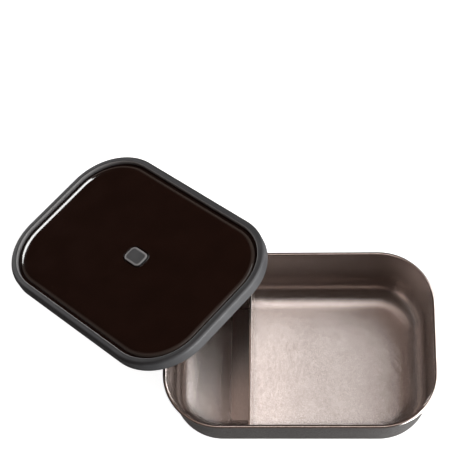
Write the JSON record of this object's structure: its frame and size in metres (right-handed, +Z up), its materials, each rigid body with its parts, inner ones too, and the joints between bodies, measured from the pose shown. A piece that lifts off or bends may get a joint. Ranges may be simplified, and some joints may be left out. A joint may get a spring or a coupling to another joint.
{
  "type": "lunch box",
  "caption": "Open rectangular steel lunch box with a loose bent-sheet divider; its lid, a dark panel in a soft sealing ring with a vent plug, leans on the rolled rim.",
  "frame": {"origin": "centre of the tray's base, on the table", "axes": "+X along the tray's length, +Y to its back, +Z up"},
  "size_m": [0.3269, 0.2388, 0.0857],
  "materials": {
    "steel": "brushed along the short side, satin",
    "dark_panel": "glossy dark brown",
    "silicone": "matt grey"
  },
  "bodies": {
    "tray": {"tray": "steel"},
    "divider": {"divider": "steel"},
    "lid": {"lid_panel": "dark_panel", "lid_seal": "silicone"},
    "vent_plug": {"vent_plug": "silicone"}
  },
  "joints": [
    {"name": "divider_slide", "type": "slide", "parent": "tray", "child": "divider", "axis": [1, 0, 0], "range_m": [-0.015, 0.093]},
    {"name": "lid_lift", "type": "slide", "parent": "tray", "child": "lid", "axis": [0, 0, 1], "range_m": [0, 0.08]},
    {"name": "vent_pull", "type": "slide", "parent": "lid", "child": "vent_plug", "axis": [-0.2829, 0.2486, 0.9264], "range_m": [0, 0.0024]}
  ]
}
